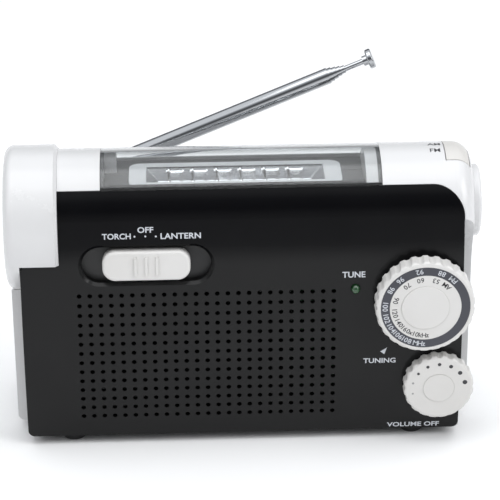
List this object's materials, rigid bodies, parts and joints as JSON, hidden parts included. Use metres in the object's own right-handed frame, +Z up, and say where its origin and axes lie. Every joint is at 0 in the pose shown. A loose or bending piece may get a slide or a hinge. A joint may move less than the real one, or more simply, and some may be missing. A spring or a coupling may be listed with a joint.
{
  "type": "emergency radio",
  "caption": "Portable emergency radio with torch head, lantern bay, telescopic aerial, tuning and volume knobs, slide switches, side crank and battery flap",
  "frame": {"origin": "on the table under the middle of the cabinet, at the feet", "axes": "+X to the listener's right along the cabinet, front faces -Y, +Z up"},
  "size_m": [0.2029, 0.0769, 0.1581],
  "materials": {
    "front_cabinet": "smooth moulded plastic",
    "rear_cabinet": "smooth moulded plastic",
    "torch_housing": "smooth moulded plastic",
    "torch_lens": "glass",
    "torch_reflector": "mirror",
    "torch_board": "matte moulded plastic",
    "torch_led": "glass",
    "lantern_cover": "glass",
    "lantern_tray": "matte moulded plastic",
    "lantern_reflector": "aluminium",
    "lantern_leds": "chrome",
    "lantern_board": "matte moulded plastic",
    "lantern_end_left": "smooth moulded plastic",
    "lantern_end_right": "smooth moulded plastic",
    "slider_plate": "matte moulded plastic",
    "lamp_switch": "matte moulded plastic",
    "tuning_capacitor": "matte moulded plastic",
    "volume_potentiometer": "brushed steel",
    "tune_lamp": "glass",
    "main_board": "matte moulded plastic",
    "speaker_frame": "painted metal",
    "speaker_cone": "fabric",
    "speaker_magnet": "cast iron",
    "ferrite_rod": "cast iron",
    "ferrite_coil": "brass",
    "band_switch": "brushed steel",
    "dynamo": "brushed steel",
    "gearbox_frame": "matte moulded plastic",
    "battery_tray": "matte moulded plastic",
    "batteries": "painted metal",
    "battery_contacts": "brushed steel",
    "cabinet_screws": "brushed steel",
    "feet": "rubber",
    "lamp_slider": "matte moulded plastic",
    "tuning_knob": "smooth moulded plastic",
    "tuning_scale": "matte moulded plastic",
    "tuning_cap": "smooth moulded plastic",
    "tuning_shaft": "brass",
    "volume_knob": "smooth moulded plastic",
    "volume_cap": "smooth moulded plastic",
    "volume_shaft": "aluminium",
    "band_knob": "matte moulded plastic",
    "aerial_swivel": "chrome",
    "aerial_pin": "chrome",
    "aerial_tube": "chrome",
    "aerial_section_2": "chrome",
    "aerial_section_3": "chrome",
    "aerial_section_4": "chrome",
    "aerial_section_5": "chrome",
    "aerial_section_6": "chrome",
    "aerial_tip": "chrome",
    "crank_hub": "smooth moulded plastic",
    "crank_gear": "matte moulded plastic",
    "crank_hinge_pin": "brushed steel",
    "crank_arm": "matte moulded plastic",
    "crank_spindle": "brushed steel",
    "crank_knob": "matte moulded plastic",
    "idler_gear": "matte moulded plastic",
    "dynamo_pinion": "brass",
    "battery_door": "smooth moulded plastic"
  },
  "bodies": {
    "cabinet": {"front_cabinet": "front_cabinet", "rear_cabinet": "rear_cabinet", "torch_housing": "torch_housing", "torch_lens": "torch_lens", "torch_reflector": "torch_reflector", "torch_board": "torch_board", "torch_led": "torch_led", "lantern_cover": "lantern_cover", "lantern_tray": "lantern_tray", "lantern_reflector": "lantern_reflector", "lantern_leds": "lantern_leds", "lantern_board": "lantern_board", "lantern_end_left": "lantern_end_left", "lantern_end_right": "lantern_end_right", "slider_plate": "slider_plate", "lamp_switch": "lamp_switch", "tuning_capacitor": "tuning_capacitor", "volume_potentiometer": "volume_potentiometer", "tune_lamp": "tune_lamp", "main_board": "main_board", "speaker_frame": "speaker_frame", "speaker_cone": "speaker_cone", "speaker_magnet": "speaker_magnet", "ferrite_rod": "ferrite_rod", "ferrite_coil": "ferrite_coil", "band_switch": "band_switch", "dynamo": "dynamo", "gearbox_frame": "gearbox_frame", "battery_tray": "battery_tray", "batteries": "batteries", "battery_contacts": "battery_contacts", "cabinet_screws": "cabinet_screws", "feet": "feet"},
    "lamp_slider": {"lamp_slider": "lamp_slider"},
    "tuning": {"tuning_knob": "tuning_knob", "tuning_scale": "tuning_scale", "tuning_cap": "tuning_cap", "tuning_shaft": "tuning_shaft"},
    "volume": {"volume_knob": "volume_knob", "volume_cap": "volume_cap", "volume_shaft": "volume_shaft"},
    "band_slider": {"band_knob": "band_knob"},
    "aerial_base": {"aerial_swivel": "aerial_swivel", "aerial_pin": "aerial_pin"},
    "aerial_1": {"aerial_tube": "aerial_tube"},
    "aerial_2": {"aerial_section_2": "aerial_section_2"},
    "aerial_3": {"aerial_section_3": "aerial_section_3"},
    "aerial_4": {"aerial_section_4": "aerial_section_4"},
    "aerial_5": {"aerial_section_5": "aerial_section_5"},
    "aerial_6": {"aerial_section_6": "aerial_section_6", "aerial_tip": "aerial_tip"},
    "crank": {"crank_hub": "crank_hub", "crank_gear": "crank_gear", "crank_hinge_pin": "crank_hinge_pin"},
    "crank_handle": {"crank_arm": "crank_arm", "crank_spindle": "crank_spindle"},
    "crank_grip": {"crank_knob": "crank_knob"},
    "idler": {"idler_gear": "idler_gear"},
    "dynamo_rotor": {"dynamo_pinion": "dynamo_pinion"},
    "battery_flap": {"battery_door": "battery_door"}
  },
  "joints": [
    {"name": "lamp_slide", "type": "slide", "parent": "cabinet", "child": "lamp_slider", "axis": [1, 0, 0], "range_m": [-0.0045, 0.0045]},
    {"name": "tuning_turn", "type": "hinge", "parent": "cabinet", "child": "tuning", "pos_m": [0.0769, -0.031, 0.069], "axis": [0, -1, 0], "range_deg": [-15, 150]},
    {"name": "volume_turn", "type": "hinge", "parent": "cabinet", "child": "volume", "pos_m": [0.084, -0.031, 0.0287], "axis": [0, 1, 0], "range_deg": [0, 300]},
    {"name": "band_slide", "type": "slide", "parent": "cabinet", "child": "band_slider", "axis": [0, 1, 0], "range_m": [0, 0.004]},
    {"name": "aerial_swing", "type": "hinge", "parent": "cabinet", "child": "aerial_base", "pos_m": [-0.066, 0.0335, 0.1019], "axis": [0, -1, 0], "range_deg": [-22.7, 90]},
    {"name": "aerial_tilt", "type": "hinge", "parent": "aerial_base", "child": "aerial_1", "pos_m": [-0.066, 0.0335, 0.1019], "axis": [-0.3859, 0, 0.9225], "range_deg": [0, 90]},
    {"name": "aerial_pull_2", "type": "slide", "parent": "aerial_1", "child": "aerial_2", "axis": [0.9225, 0, 0.3859], "range_m": [0, 0.085]},
    {"name": "aerial_pull_3", "type": "slide", "parent": "aerial_2", "child": "aerial_3", "axis": [0.9225, 0, 0.3859], "range_m": [0, 0.085]},
    {"name": "aerial_pull_4", "type": "slide", "parent": "aerial_3", "child": "aerial_4", "axis": [0.9225, 0, 0.3859], "range_m": [0, 0.085]},
    {"name": "aerial_pull_5", "type": "slide", "parent": "aerial_4", "child": "aerial_5", "axis": [0.9225, 0, 0.3859], "range_m": [0, 0.085]},
    {"name": "aerial_pull_6", "type": "slide", "parent": "aerial_5", "child": "aerial_6", "axis": [0.9225, 0, 0.3859], "range_m": [0, 0.085]},
    {"name": "crank_turn", "type": "hinge", "parent": "cabinet", "child": "crank", "pos_m": [0.099, 0, 0.10094], "axis": [1, 0, 0], "continuous": true},
    {"name": "crank_fold", "type": "hinge", "parent": "crank", "child": "crank_handle", "pos_m": [0.101, 0, 0.09044], "axis": [0, 1, 0], "range_deg": [0, 180]},
    {"name": "crank_grip_spin", "type": "hinge", "parent": "crank_handle", "child": "crank_grip", "pos_m": [0.101, 0, 0.10894], "axis": [1, 0, 0], "continuous": true},
    {"name": "idler_turn", "type": "hinge", "parent": "cabinet", "child": "idler", "pos_m": [0.0601, 0.008, 0.08244], "axis": [1, 0, 0], "continuous": true},
    {"name": "dynamo_turn", "type": "hinge", "parent": "cabinet", "child": "dynamo_rotor", "pos_m": [0.0601, 0.01, 0.064], "axis": [1, 0, 0], "continuous": true},
    {"name": "battery_door_hinge", "type": "hinge", "parent": "cabinet", "child": "battery_flap", "pos_m": [-0.0439, 0.02818, 0.0118], "axis": [-1, 0, 0], "range_deg": [0, 90]}
  ],
  "couplings": [
    {"joint": "idler_turn", "follows": "crank_turn", "ratio": -4},
    {"joint": "dynamo_turn", "follows": "crank_turn", "ratio": 14.4}
  ]
}
